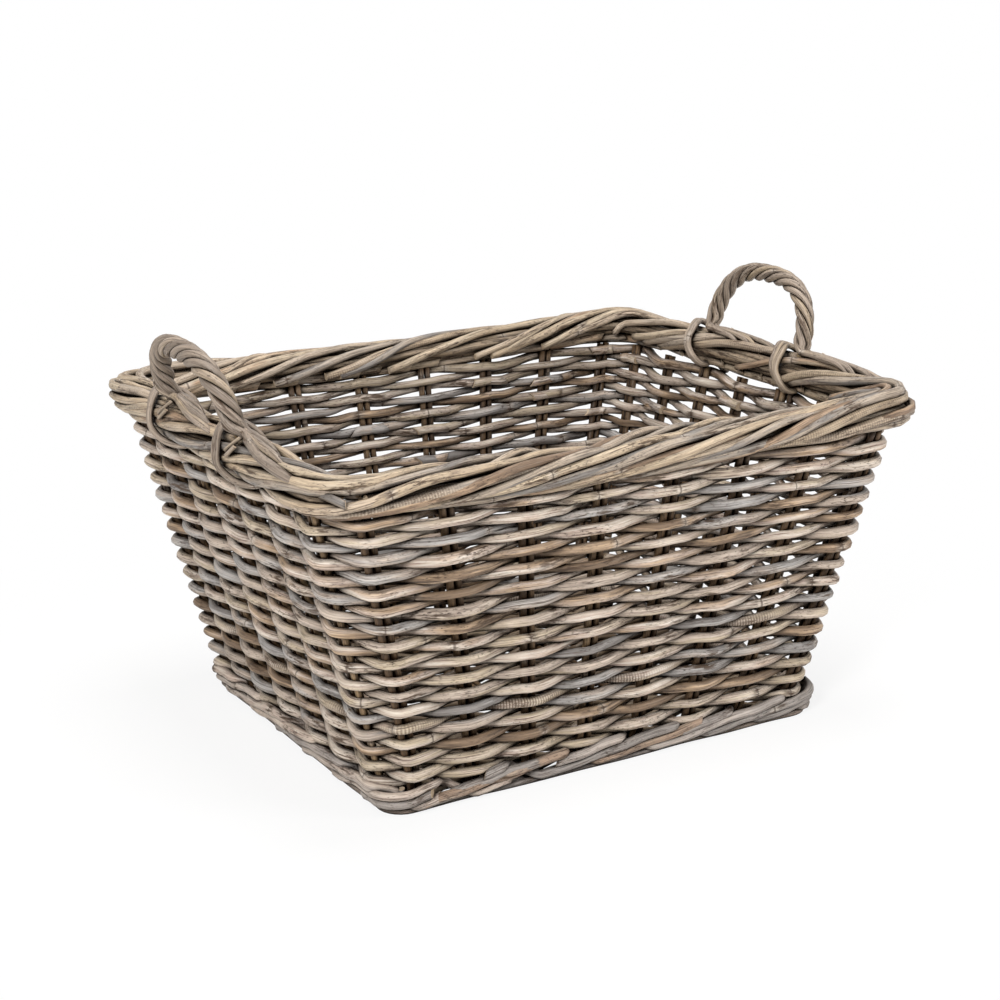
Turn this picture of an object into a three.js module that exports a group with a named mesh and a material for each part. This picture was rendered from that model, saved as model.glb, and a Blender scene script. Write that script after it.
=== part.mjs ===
// A rectangular rattan basket, wider at the rim than at the foot, woven by hand from whole rods.
// Pairs of thin stakes run up one wall, under the basket and up the facing wall. Sixteen courses of
// pairing are woven round them, a rolled border of thick rods closes the rim, a wale and a ground
// rod make the foot, and a roped arch handle is lashed to the border at each end.
// Lengths are millimetres, +Z is up, X runs along the basket, and the origin lies under its middle.
import * as THREE from 'three';

// Outline of the stake line, between the stakes of facing walls, at the ground and at the border
const BASE_LENGTH = 420;
const BASE_WIDTH = 354;
const RIM_LENGTH = 565;
const RIM_WIDTH = 450;

// Stakes: pairs of rods side by side, the end pairs set back from the corners
const STAKE_DIAMETER = 5.8;
const PAIR_PITCH = 7.8;
const LONG_SIDE_PAIRS = 8;
const SHORT_SIDE_PAIRS = 7;
const LONG_SIDE_SETBACK_AT_BASE = 21;
const LONG_SIDE_SETBACK_AT_RIM = 24;
const SHORT_SIDE_SETBACK_AT_BASE = 21;
const SHORT_SIDE_SETBACK_AT_RIM = 43;
const STAKE_BEND = 6;
const GROUND_TO_BASE = 1.5;

// Weaving courses: one rod folded in half, its two ends passing each stake pair on opposite sides
const COURSES = 16;
const WEAVER_WIDTH = 8.4;
const WEAVER_HEIGHT = 7.4;
const FOLD_SETBACK = 20;
const WEAVER_TAIL = 14;

// Base weaver: one long rod running to and fro across the base, over one stake pair, under the next
const BASE_WEAVER_DIAMETER = 5.6;
const BASE_PASSES_PER_GAP = 2;
const BASE_PASS_PITCH = 17;

// Rim border: thick rods rolled round each other all the way along the rim
const BORDER_ROD_DIAMETER = 11;
const BORDER_RODS = 6;
const BORDER_PIECES = 2;
const BORDER_FULL_TURNS = 3;
const BORDER_CORNER_RADIUS = 32;

// Foot: a ground rod with a flat underside, and a wale of two rods twisted together above it
const GROUND_ROD_WIDTH = 8;
const GROUND_ROD_HEIGHT = 6.3;
const WALE_ROD_DIAMETER = 7.2;
const WALE_RODS = 2;
const WALE_FULL_TURNS = 4;
const FOOT_CORNER_RADIUS = 16;

// Handles: a core rod bent to an arch that leans outward, and the roped wrapping twisted round it
const HANDLE_CORE_DIAMETER = 7;
const HANDLE_DIAMETER = 17.6;
const HANDLE_GROOVE_DEPTH = 2.2;
const HANDLE_RISE = 67;
const HANDLE_LEAN_SHARE = 0.27;
const HANDLE_SQUARENESS = 2.6;
const HANDLE_STRANDS = 5;
const HANDLE_TWIST_TURNS = 1;
const HANDLE_STEPS = 12;

// Lashings: a thin rod wound round the border, one turn on each side of a handle foot
const LASHING_DIAMETER = 5.4;
const LASHING_SLACK_SHARE = 1.08;
const LASHING_STEPS_PER_TURN = 8;
const LASHING_STEPS = 14;

// Clearance between neighbouring rods, and the gap where the two ends of a ring butt
const CLEARANCE = 0.35;
const BUTT_GAP = 1.2;

// Straight steps along each wall, and steps round each corner, of the rings at the rim and foot
const BORDER_STEPS = { long: 7, short: 6, corner: 2 };
const FOOT_STEPS = { long: 7, short: 5, corner: 2 };

// Rods twisted together lie this far from their common middle line
function twistRadius(rodDiameter, rods) {
  return (rodDiameter + CLEARANCE) / (2 * Math.sin(Math.PI / rods));
}

const borderTurns = BORDER_FULL_TURNS + BORDER_PIECES / BORDER_RODS;
const borderTwistRadius = twistRadius(BORDER_ROD_DIAMETER, BORDER_RODS);
const borderRadius = borderTwistRadius + BORDER_ROD_DIAMETER / 2;
const waleTwistRadius = twistRadius(WALE_ROD_DIAMETER, WALE_RODS);
const waleRadius = waleTwistRadius + WALE_ROD_DIAMETER / 2;

// Heights, built up from the ground
const waleCentre = GROUND_ROD_HEIGHT + CLEARANCE + waleRadius;
const weaveBottom = waleCentre + waleRadius + CLEARANCE;
const coursePitch = 2 * (WEAVER_HEIGHT + CLEARANCE);
const weaveTop = weaveBottom + COURSES * coursePitch;
const borderCentre = weaveTop + LASHING_DIAMETER + 2 * CLEARANCE + borderRadius;
const stakeTop = borderCentre - borderRadius - CLEARANCE;
const lashingTop = borderCentre + borderRadius + CLEARANCE + LASHING_DIAMETER;
const crossStakeLevel = GROUND_TO_BASE + STAKE_DIAMETER / 2;
const longStakeLevel = crossStakeLevel + STAKE_DIAMETER + CLEARANCE;

function between(atBase, atRim, height) {
  return THREE.MathUtils.lerp(atBase, atRim, height / borderCentre);
}

function halfLength(height) {
  return between(BASE_LENGTH, RIM_LENGTH, height) / 2;
}

function halfWidth(height) {
  return between(BASE_WIDTH, RIM_WIDTH, height) / 2;
}

// Distance between neighbouring stake pairs of a long or a short wall at a height
function longSpacing(height) {
  const setback = between(LONG_SIDE_SETBACK_AT_BASE, LONG_SIDE_SETBACK_AT_RIM, height);
  return 2 * (halfLength(height) - setback) / (LONG_SIDE_PAIRS - 1);
}

function shortSpacing(height) {
  const setback = between(SHORT_SIDE_SETBACK_AT_BASE, SHORT_SIDE_SETBACK_AT_RIM, height);
  return 2 * (halfWidth(height) - setback) / (SHORT_SIDE_PAIRS - 1);
}

function fromMiddle(index, count) {
  return index - (count - 1) / 2;
}

// How far a rod swings out where it passes a stake pair, so that it clears both stakes on its way
function swing(rodWidth, rodHeight, spacing, fanning) {
  let crest = rodWidth;
  for (let pass = 0; pass < 5; pass += 1) {
    const slope = 2 * crest / spacing;
    const sideways = (PAIR_PITCH + fanning * rodHeight) / 2;
    crest = STAKE_DIAMETER / 2 + CLEARANCE + rodWidth / 2 * Math.hypot(1, slope) + slope * sideways;
  }
  return crest;
}

// How far the walls lean outward for each unit of height, and what that adds to a level distance
const endWallLean = (RIM_LENGTH - BASE_LENGTH) / 2 / borderCentre;
const sideWallLean = (RIM_WIDTH - BASE_WIDTH) / 2 / borderCentre;
const endWallStretch = Math.hypot(1, endWallLean);
const sideWallStretch = Math.hypot(1, sideWallLean);
const tightestSpacing = Math.min(longSpacing(weaveBottom), shortSpacing(weaveBottom));
const courseSwing = swing(WEAVER_WIDTH, WEAVER_HEIGHT, tightestSpacing, endWallLean) * endWallStretch;

// The line of a rod through its points. Its section stands square to the line, upright along the
// given direction or directions, and turned about the line by the given angles.
class RodLine extends THREE.Curve {
  constructor(points, upright, angles) {
    super();
    this.points = points;
    this.upright = upright;
    this.angles = angles;
  }

  getPoint(t, target = new THREE.Vector3()) {
    const last = this.points.length - 1;
    const index = Math.min(Math.floor(t * last), last - 1);
    return target.lerpVectors(this.points[index], this.points[index + 1], t * last - index);
  }

  getUtoTmapping(u) {
    return u;
  }

  computeFrenetFrames() {
    const frames = { tangents: [], normals: [], binormals: [] };
    const last = this.points.length - 1;
    let previous = null;
    this.points.forEach((here, index) => {
      const arriving = here.clone().sub(this.points[Math.max(index - 1, 0)]).normalize();
      const leaving = this.points[Math.min(index + 1, last)].clone().sub(here).normalize();
      const tangent = arriving.add(leaving).normalize();
      const upright = Array.isArray(this.upright) ? this.upright[index] : this.upright;
      const normal = upright.clone().projectOnPlane(tangent).normalize();
      const binormal = new THREE.Vector3().crossVectors(tangent, normal);
      if (previous && binormal.dot(previous) < 0) {
        normal.negate();
        binormal.negate();
      }
      previous = binormal.clone();
      const angle = this.angles ? this.angles[index] : 0;
      frames.tangents.push(tangent);
      frames.normals.push(normal.applyAxisAngle(tangent, angle));
      frames.binormals.push(binormal.applyAxisAngle(tangent, angle));
    });
    return frames;
  }
}

function outline(points) {
  return new THREE.Shape(points.map(([x, y]) => new THREE.Vector2(x, y)));
}

function roundPoints(diameter, sides) {
  const points = [];
  for (let side = 0; side < sides; side += 1) {
    const angle = 2 * Math.PI * side / sides;
    points.push([Math.cos(angle) * diameter / 2, Math.sin(angle) * diameter / 2]);
  }
  return points;
}

function flatSection(height, width) {
  return outline([
    [height / 2, width / 2],
    [-height / 2, width / 2],
    [-height / 2, -width / 2],
    [height / 2, -width / 2],
  ]);
}

function ridgedSection(height, width) {
  return outline([[height / 2, 0], [0, width / 2], [-height / 2, 0], [0, -width / 2]]);
}

function rodGeometry(section, points, upright, angles) {
  return new THREE.ExtrudeGeometry(section, {
    steps: points.length - 1,
    extrudePath: new RodLine(points, upright, angles),
    bevelEnabled: false,
    curveSegments: 1,
  });
}

const basket = new THREE.Group();

function addPiece(name, geometry, colour, roughness) {
  const material = new THREE.MeshStandardMaterial({ color: colour, roughness, metalness: 0 });
  const piece = new THREE.Mesh(geometry, material);
  piece.name = name;
  basket.add(piece);
}

function numbered(name, index) {
  return `${name}_${String(index + 1).padStart(2, '0')}`;
}

const UP = new THREE.Vector3(0, 0, 1);
const ALONG_LENGTH = new THREE.Vector3(1, 0, 0);
const ALONG_WIDTH = new THREE.Vector3(0, 1, 0);

// Stakes: each rod is bent to a wide U, down one wall, across the base and up the facing wall
const stakeSection = ridgedSection(STAKE_DIAMETER, STAKE_DIAMETER);

function stakePoints(level, reach, placeAt) {
  const turned = (reach - STAKE_BEND) / reach;
  const half = (side) => [
    placeAt(stakeTop, side),
    placeAt(level + STAKE_BEND, side),
    placeAt(level, side * turned),
  ];
  return [...half(1), ...half(-1).reverse()];
}

function addFrontBackStakes() {
  for (let rod = 0; rod < 2 * LONG_SIDE_PAIRS; rod += 1) {
    const pair = fromMiddle(Math.floor(rod / 2), LONG_SIDE_PAIRS);
    const aside = PAIR_PITCH * (rod % 2 - 1 / 2);
    const points = stakePoints(longStakeLevel, halfWidth(longStakeLevel), (height, share) => (
      new THREE.Vector3(pair * longSpacing(height) + aside, share * halfWidth(height), height)));
    const geometry = rodGeometry(stakeSection, points, ALONG_LENGTH);
    addPiece(numbered('front_back_stake', rod), geometry, 0x7d6a58, 0.8);
  }
}

function addLeftRightStakes() {
  for (let rod = 0; rod < 2 * SHORT_SIDE_PAIRS; rod += 1) {
    const pair = fromMiddle(Math.floor(rod / 2), SHORT_SIDE_PAIRS);
    const aside = PAIR_PITCH * (rod % 2 - 1 / 2);
    const points = stakePoints(crossStakeLevel, halfLength(crossStakeLevel), (height, share) => (
      new THREE.Vector3(share * halfLength(height), pair * shortSpacing(height) + aside, height)));
    const geometry = rodGeometry(stakeSection, points, ALONG_WIDTH);
    addPiece(numbered('left_right_stake', rod), geometry, 0x7d6a58, 0.8);
  }
}

// Base weaver: passes run lengthwise between the left-right stakes, and turn back above them
function addBaseWeaver() {
  const spacing = longSpacing(longStakeLevel);
  const crest = swing(BASE_WEAVER_DIAMETER, BASE_WEAVER_DIAMETER, spacing, 0);
  const turnLevel = crossStakeLevel + (STAKE_DIAMETER + BASE_WEAVER_DIAMETER) / 2 + CLEARANCE;
  const pastPair = (PAIR_PITCH + STAKE_DIAMETER + BASE_WEAVER_DIAMETER) / 2 + 4 * CLEARANCE;
  const end = spacing * fromMiddle(LONG_SIDE_PAIRS - 1, LONG_SIDE_PAIRS) + pastPair;
  const shoulder = end - BASE_WEAVER_DIAMETER / 2;
  const points = [];
  for (let pass = 0; pass < BASE_PASSES_PER_GAP * (SHORT_SIDE_PAIRS - 1); pass += 1) {
    const gap = Math.floor(pass / BASE_PASSES_PER_GAP);
    const lane = pass % BASE_PASSES_PER_GAP;
    const y = fromMiddle(gap, SHORT_SIDE_PAIRS - 1) * shortSpacing(crossStakeLevel)
      + fromMiddle(lane, BASE_PASSES_PER_GAP) * BASE_PASS_PITCH;
    const way = pass % 2 === 0 ? 1 : -1;
    const levelAt = (pair) => longStakeLevel + crest * way * ((pair + gap) % 2 === 0 ? 1 : -1);
    const addPoint = (x, level) => points.push(new THREE.Vector3(way * x, y, level));
    addPoint(-end, turnLevel);
    addPoint(-shoulder, levelAt(0));
    for (let pair = 0; pair < LONG_SIDE_PAIRS; pair += 1) {
      addPoint(fromMiddle(pair, LONG_SIDE_PAIRS) * spacing, levelAt(pair));
    }
    addPoint(shoulder, levelAt(LONG_SIDE_PAIRS - 1));
    addPoint(end, turnLevel);
  }
  const section = flatSection(BASE_WEAVER_DIAMETER, BASE_WEAVER_DIAMETER);
  addPiece('base_weaver', rodGeometry(section, points, UP), 0x9c8a78, 0.8);
}

// One stake pair as a course meets it: its middle at a height, and the way out of the basket there
function stakePairAt(index, height) {
  const walls = [
    { pairs: LONG_SIDE_PAIRS, reach: halfWidth(height), spacing: longSpacing(height), out: [0, -1] },
    { pairs: SHORT_SIDE_PAIRS, reach: halfLength(height), spacing: shortSpacing(height), out: [1, 0] },
    { pairs: LONG_SIDE_PAIRS, reach: halfWidth(height), spacing: longSpacing(height), out: [0, 1] },
    { pairs: SHORT_SIDE_PAIRS, reach: halfLength(height), spacing: shortSpacing(height), out: [-1, 0] },
  ];
  let place = index % (2 * (LONG_SIDE_PAIRS + SHORT_SIDE_PAIRS));
  while (place >= walls[0].pairs) {
    place -= walls[0].pairs;
    walls.push(walls.shift());
  }
  const { pairs, reach, spacing, out } = walls[0];
  const outward = new THREE.Vector3(out[0], out[1], 0);
  const onward = new THREE.Vector3(-out[1], out[0], 0);
  const middle = new THREE.Vector3(0, 0, height);
  middle.addScaledVector(outward, reach).addScaledVector(onward, fromMiddle(place, pairs) * spacing);
  return { middle, outward, onward, isLong: pairs === LONG_SIDE_PAIRS, endsWall: place === pairs - 1 };
}

// How far past the wall lines a course turns a corner, in shares of its swing, when it was last
// outside a long wall or inside it
const cornerFromOutsideShares = { x: -0.1, y: 0.54 };
const cornerFromInsideShares = { x: 0.46, y: -0.46 };

function cornerPoint({ outward, onward }, height, longIsOutside) {
  const shares = longIsOutside ? cornerFromOutsideShares : cornerFromInsideShares;
  const way = outward.clone().add(onward);
  const x = way.x * (halfLength(height) + courseSwing * shares.x);
  const y = way.y * (halfWidth(height) + courseSwing * shares.y);
  return new THREE.Vector3(x, y, height);
}

// The way up a wall that faces a direction, or up a corner between two walls
function wallUpright(...directions) {
  const upright = UP.clone();
  directions.forEach(({ x, y }) => {
    upright.x += x * endWallLean;
    upright.y += y * sideWallLean;
  });
  return upright;
}

// One half of a course's rod: once round the basket, outside and inside the pairs in turn
function courseHalf(firstPair, height, startsOutside) {
  const count = 2 * (LONG_SIDE_PAIRS + SHORT_SIDE_PAIRS);
  const points = [];
  const uprights = [];
  for (let step = 0; step < count; step += 1) {
    const pair = stakePairAt(firstPair + step, height);
    const outside = (step % 2 === 0) === startsOutside;
    points.push(pair.middle.clone().addScaledVector(pair.outward, outside ? courseSwing : -courseSwing));
    uprights.push(wallUpright(pair.outward));
    if (pair.endsWall) {
      points.push(cornerPoint(pair, height, pair.isLong === outside));
      uprights.push(wallUpright(pair.outward, pair.onward));
    }
  }
  const last = points[points.length - 1];
  points.push(last.clone().lerp(points[0], WEAVER_TAIL / last.distanceTo(points[0])));
  uprights.push(uprights[0]);
  return { points, uprights };
}

function addCourses() {
  const section = ridgedSection(WEAVER_HEIGHT, WEAVER_WIDTH);
  const firstBackPair = LONG_SIDE_PAIRS + SHORT_SIDE_PAIRS;
  const foldPlaces = Math.floor((LONG_SIDE_PAIRS - 1) / 2) - 1;
  for (let course = 0; course < COURSES; course += 1) {
    const middle = weaveBottom + (course + 1 / 2) * coursePitch;
    const upperHeight = middle + coursePitch / 4;
    const lowerHeight = middle - coursePitch / 4;
    const foldPair = firstBackPair + 1 + 2 * (course % foldPlaces);
    const fold = stakePairAt(foldPair, middle);
    const foldMiddle = fold.middle.clone().addScaledVector(fold.onward, -FOLD_SETBACK);
    const foldUpright = wallUpright(fold.outward);
    const upper = courseHalf(foldPair, upperHeight, true);
    const lower = courseHalf(foldPair, lowerHeight, false);
    const points = [
      ...lower.points.reverse(),
      foldMiddle.clone().setZ(lowerHeight),
      foldMiddle.clone().setZ(upperHeight),
      ...upper.points,
    ];
    const uprights = [...lower.uprights.reverse(), foldUpright, foldUpright, ...upper.uprights];
    const geometry = rodGeometry(section, points, uprights);
    addPiece(numbered('weaving_course', course), geometry, 0xa89886, 0.75);
  }
}

// Stations of a ring round the basket: a rounded rectangle, starting on a straight stretch, with
// the way out at each station and the distance run so far
function ringStations(halfX, halfY, radius, steps) {
  const sides = [
    { corner: [1, -1], straightSteps: steps.short },
    { corner: [1, 1], straightSteps: steps.long },
    { corner: [-1, 1], straightSteps: steps.short },
    { corner: [-1, -1], straightSteps: steps.long },
  ];
  const centreOf = ([x, y]) => new THREE.Vector3(x * (halfX - radius), y * (halfY - radius), 0);
  const stations = [];
  sides.forEach(({ corner, straightSteps }, side) => {
    for (let step = 0; step <= steps.corner; step += 1) {
      const angle = Math.PI / 2 * (side - 1 + step / steps.corner);
      const out = new THREE.Vector3(Math.cos(angle), Math.sin(angle), 0);
      stations.push({ place: centreOf(corner).addScaledVector(out, radius), out });
    }
    const { place: start, out } = stations[stations.length - 1];
    const end = centreOf(sides[(side + 1) % sides.length].corner).addScaledVector(out, radius);
    for (let step = 1; step < straightSteps; step += 1) {
      stations.push({ place: start.clone().lerp(end, step / straightSteps), out });
    }
  });
  stations.push(...stations.splice(0, steps.corner + 1));
  let run = 0;
  stations.forEach((station, index) => {
    run += station.place.distanceTo(stations[Math.max(index - 1, 0)].place);
    station.run = run;
  });
  const perimeter = run + stations[0].place.distanceTo(stations[stations.length - 1].place);
  return { stations, perimeter };
}

// A rod that goes round a ring, turning about the ring's middle line as it goes
function twistedRod(section, ring, height, radius, turnsPerRing, phase, laps) {
  const points = [];
  const angles = [];
  const count = ring.stations.length;
  for (let step = 0; step <= laps * count; step += 1) {
    const lap = Math.floor(step / count);
    const { place, out, run } = ring.stations[step % count];
    const angle = 2 * Math.PI * (phase + turnsPerRing * (lap + run / ring.perimeter));
    const point = place.clone().addScaledVector(out, radius * Math.cos(angle));
    points.push(point.setZ(height + radius * Math.sin(angle)));
    angles.push(-angle);
  }
  const last = points[points.length - 1];
  const back = points[points.length - 2].clone().sub(last).normalize();
  last.addScaledVector(back, BUTT_GAP);
  return rodGeometry(section, points, UP, angles);
}

function addBorder() {
  const ring = ringStations(RIM_LENGTH / 2, RIM_WIDTH / 2, BORDER_CORNER_RADIUS, BORDER_STEPS);
  const laps = BORDER_RODS / BORDER_PIECES;
  const section = outline(roundPoints(BORDER_ROD_DIAMETER, 5));
  for (let piece = 0; piece < BORDER_PIECES; piece += 1) {
    const phase = piece / BORDER_RODS;
    const geometry = twistedRod(section, ring, borderCentre, borderTwistRadius, borderTurns, phase, laps);
    addPiece(numbered('rim_border_rod', piece), geometry, 0xb0a08c, 0.7);
  }
}

function addFoot() {
  const reach = STAKE_DIAMETER / 2 + CLEARANCE + waleRadius;
  const halfX = halfLength(waleCentre) + reach * endWallStretch;
  const halfY = halfWidth(waleCentre) + reach * sideWallStretch;
  const ring = ringStations(halfX, halfY, FOOT_CORNER_RADIUS, FOOT_STEPS);
  const groundSection = flatSection(GROUND_ROD_HEIGHT, GROUND_ROD_WIDTH);
  const groundRod = twistedRod(groundSection, ring, GROUND_ROD_HEIGHT / 2, 0, 0, 0, 1);
  addPiece('ground_rod', groundRod, 0x7f7468, 0.85);
  const waleSection = ridgedSection(WALE_ROD_DIAMETER, WALE_ROD_DIAMETER);
  for (let rod = 0; rod < WALE_RODS; rod += 1) {
    const phase = rod / WALE_RODS;
    const geometry = twistedRod(waleSection, ring, waleCentre, waleTwistRadius, WALE_FULL_TURNS, phase, 1);
    addPiece(numbered('foot_wale_rod', rod), geometry, 0x9a8b7a, 0.8);
  }
}

// Each handle foot stands just outside the second stake pair from the middle of a short wall, where
// its lashing crosses under the border
const lashingPitch = (HANDLE_CORE_DIAMETER + LASHING_DIAMETER + 4 * CLEARANCE) * LASHING_SLACK_SHARE;
const lashingHalfTrack = LASHING_DIAMETER / 2 + lashingPitch / (2 * LASHING_STEPS_PER_TURN) + CLEARANCE;
const footSide = shortSpacing(stakeTop) + (PAIR_PITCH + STAKE_DIAMETER) / 2 + lashingHalfTrack;
const leanTilt = HANDLE_LEAN_SHARE / Math.hypot(1, HANDLE_LEAN_SHARE);
const coreFoot = borderCentre + borderRadius + CLEARANCE + leanTilt * HANDLE_CORE_DIAMETER / 2;
const wrappingFoot = lashingTop + CLEARANCE + leanTilt * HANDLE_DIAMETER / 2;

// The arch of a handle, standing on the border and leaning outward
function archPoints(side) {
  const points = [];
  const power = 2 / HANDLE_SQUARENESS;
  for (let step = 0; step <= HANDLE_STEPS; step += 1) {
    const angle = Math.PI * step / HANDLE_STEPS;
    const rise = step % HANDLE_STEPS === 0 ? 0 : HANDLE_RISE * Math.sin(angle) ** power;
    const across = Math.sign(Math.cos(angle)) * Math.abs(Math.cos(angle)) ** power;
    const height = coreFoot + rise;
    const x = RIM_LENGTH / 2 + HANDLE_LEAN_SHARE * (height - borderCentre);
    points.push(new THREE.Vector3(side * x, across * footSide, height));
  }
  return points;
}

// The wrapping covers the arch from just above the lashings
function wrappedPoints(arch) {
  const share = (wrappingFoot - arch[0].z) / (arch[1].z - arch[0].z);
  const last = arch.length - 1;
  const start = arch[0].clone().lerp(arch[1], share);
  const end = arch[last].clone().lerp(arch[last - 1], share);
  return [start, ...arch.slice(1, last), end];
}

function wrappingSection() {
  const points = [];
  for (let index = 0; index < 2 * HANDLE_STRANDS; index += 1) {
    const angle = Math.PI * index / HANDLE_STRANDS;
    const radius = HANDLE_DIAMETER / 2 - (index % 2) * HANDLE_GROOVE_DEPTH;
    points.push([radius * Math.cos(angle), radius * Math.sin(angle)]);
  }
  const section = outline(points);
  const boreSides = 6;
  const bore = (HANDLE_CORE_DIAMETER + 2 * CLEARANCE) / Math.cos(Math.PI / boreSides);
  const borePoints = roundPoints(bore, boreSides).map(([x, y]) => new THREE.Vector2(x, y));
  section.holes.push(new THREE.Path(borePoints));
  return section;
}

// A lashing winds round the border, over it before the handle foot, under it and over it again
function lashingPoints(side, foot) {
  const points = [];
  const turnStep = 2 * Math.PI / LASHING_STEPS_PER_TURN;
  const radius = (borderRadius + CLEARANCE + LASHING_DIAMETER / 2) / Math.cos(turnStep / 2);
  for (let step = 0; step <= LASHING_STEPS; step += 1) {
    const angle = turnStep * (step - 3 / 2);
    const turns = angle / (2 * Math.PI) - 3 / 4;
    const x = side * (RIM_LENGTH / 2 + radius * Math.cos(angle));
    const y = foot * footSide + Math.sign(foot) * turns * lashingPitch;
    points.push(new THREE.Vector3(x, y, borderCentre + radius * Math.sin(angle)));
  }
  return points;
}

function addHandles() {
  const coreSection = outline(roundPoints(HANDLE_CORE_DIAMETER, 6));
  const lashingSection = flatSection(LASHING_DIAMETER, LASHING_DIAMETER);
  const twist = Array.from({ length: HANDLE_STEPS + 1 }, (_, step) => (
    -2 * Math.PI * HANDLE_TWIST_TURNS * step / HANDLE_STEPS));
  [['left', -1], ['right', 1]].forEach(([name, side]) => {
    const arch = archPoints(side);
    const squareToArch = new THREE.Vector3(side, 0, -HANDLE_LEAN_SHARE);
    const core = rodGeometry(coreSection, arch, squareToArch);
    addPiece(`${name}_handle_core`, core, 0xb49c7c, 0.7);
    const wrapping = rodGeometry(wrappingSection(), wrappedPoints(arch), squareToArch, twist);
    addPiece(`${name}_handle_wrapping`, wrapping, 0xb3a48f, 0.7);
    [['front', -1], ['back', 1]].forEach(([end, way]) => {
      const lashing = rodGeometry(lashingSection, lashingPoints(side, way), ALONG_WIDTH);
      addPiece(`${name}_handle_${end}_lashing`, lashing, 0xb8ab9a, 0.7);
    });
  });
}

addFrontBackStakes();
addLeftRightStakes();
addBaseWeaver();
addCourses();
addBorder();
addFoot();
addHandles();

export default basket;
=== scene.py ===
"""A rectangular rattan basket with a rolled border and two roped arch handles, on a white studio floor."""

import math
import random

import bmesh
import bpy
from mathutils import Matrix, Vector, noise


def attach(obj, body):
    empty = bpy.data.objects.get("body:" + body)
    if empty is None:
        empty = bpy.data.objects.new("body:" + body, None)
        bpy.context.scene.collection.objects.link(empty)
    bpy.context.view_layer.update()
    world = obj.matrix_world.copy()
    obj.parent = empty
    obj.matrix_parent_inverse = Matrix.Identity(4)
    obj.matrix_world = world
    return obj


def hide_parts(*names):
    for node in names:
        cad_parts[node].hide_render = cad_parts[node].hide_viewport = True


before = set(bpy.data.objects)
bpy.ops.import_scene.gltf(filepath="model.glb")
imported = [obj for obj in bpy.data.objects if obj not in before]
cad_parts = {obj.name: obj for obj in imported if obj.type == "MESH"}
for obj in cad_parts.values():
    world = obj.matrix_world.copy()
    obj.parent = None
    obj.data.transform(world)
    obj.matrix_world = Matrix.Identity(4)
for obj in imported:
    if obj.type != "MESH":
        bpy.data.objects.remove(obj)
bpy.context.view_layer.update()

# Studio: a white table under soft lamps. The table is board, painted matt white, so it mirrors nothing. It
# keeps the basket's shadow near the foot and reads as plain white further out, as on a product photograph.

WHITE = "#ffffff"
BOARD_WHITE = "#f4f3f1"
BOARD_RADIUS_M = 3.0
BOARD_SIDES = 96
SHADOW_FADES_M = (0.25, 0.7)
WHITE_SHARES = (0.84, 1.0)
WORLD_FILL = 0.13


def colour(hex_text):
    """The linear colour of an sRGB hex value."""
    channels = [int(hex_text[k:k + 2], 16) / 255 for k in (1, 3, 5)]
    linear = [c / 12.92 if c <= 0.04045 else ((c + 0.055) / 1.055) ** 2.4 for c in channels]
    return (*linear, 1.0)


def add_node(tree, kind, inputs=None, output=0, stops=(), **settings):
    """Adds one shader node and returns one of its outputs. inputs is {name or number: a socket, a value or a
    hex colour}, and stops are a colour ramp's (place, hex colour)."""
    shader = tree.nodes.new("ShaderNode" + kind)
    for name, value in settings.items():
        setattr(shader, name, value)
    for key, value in (inputs or {}).items():
        if isinstance(value, bpy.types.NodeSocket):
            tree.links.new(value, shader.inputs[key])
        else:
            shader.inputs[key].default_value = colour(value) if isinstance(value, str) else value
    for _ in stops[2:]:
        shader.color_ramp.elements.new(0.5)
    for k, (spot, tint) in enumerate(stops):
        element = shader.color_ramp.elements[k]
        element.position, element.color = spot, colour(tint)
    return shader.outputs[output] if shader.outputs else shader


def new_material(name):
    """An empty node material, and its tree."""
    made = bpy.data.materials.new(name)
    made.use_nodes = True
    made.node_tree.nodes.clear()
    return made, made.node_tree


board, tree = new_material("painted_board_white")
place = add_node(tree, "TexCoord", output="Object")
far = add_node(tree, "VectorMath", {0: place}, output="Value", operation="LENGTH")
fade = add_node(tree, "MapRange", {"Value": far, "From Min": SHADOW_FADES_M[0], "From Max": SHADOW_FADES_M[1],
                                   "To Min": WHITE_SHARES[0], "To Max": WHITE_SHARES[1]},
                interpolation_type="SMOOTHSTEP")
seen = add_node(tree, "LightPath", output="Is Camera Ray")
lifted = add_node(tree, "Math", {0: fade, 1: seen}, operation="MULTIPLY")
matt = add_node(tree, "BsdfDiffuse", {"Color": BOARD_WHITE})
glow = add_node(tree, "Emission", {"Color": WHITE, "Strength": 1.0})
add_node(tree, "OutputMaterial", {"Surface": add_node(tree, "MixShader", {0: lifted, 1: matt, 2: glow})})

table = bmesh.new()
bmesh.ops.create_circle(table, cap_ends=True, segments=BOARD_SIDES, radius=BOARD_RADIUS_M)
table_mesh = bpy.data.meshes.new("table_top")
table.to_mesh(table_mesh)
table.free()
table_mesh.materials.append(board)
table_top = bpy.data.objects.new("table_top", table_mesh)
bpy.context.scene.collection.objects.link(table_top)

world = bpy.data.worlds.new("studio")
bpy.context.scene.world = world
world.use_nodes = True
tree = world.node_tree
tree.nodes.clear()
kinds = add_node(tree, "LightPath").node.outputs
watched = add_node(tree, "Math", {0: kinds["Is Camera Ray"], 1: kinds["Is Glossy Ray"]}, operation="MAXIMUM")
watched = add_node(tree, "Math", {0: watched, 1: kinds["Is Transmission Ray"]}, operation="MAXIMUM")
power = add_node(tree, "MapRange", {"Value": watched, "To Min": WORLD_FILL, "To Max": 1.0})
add_node(tree, "OutputWorld", {"Surface": add_node(tree, "Background", {"Color": WHITE, "Strength": power})})

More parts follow.
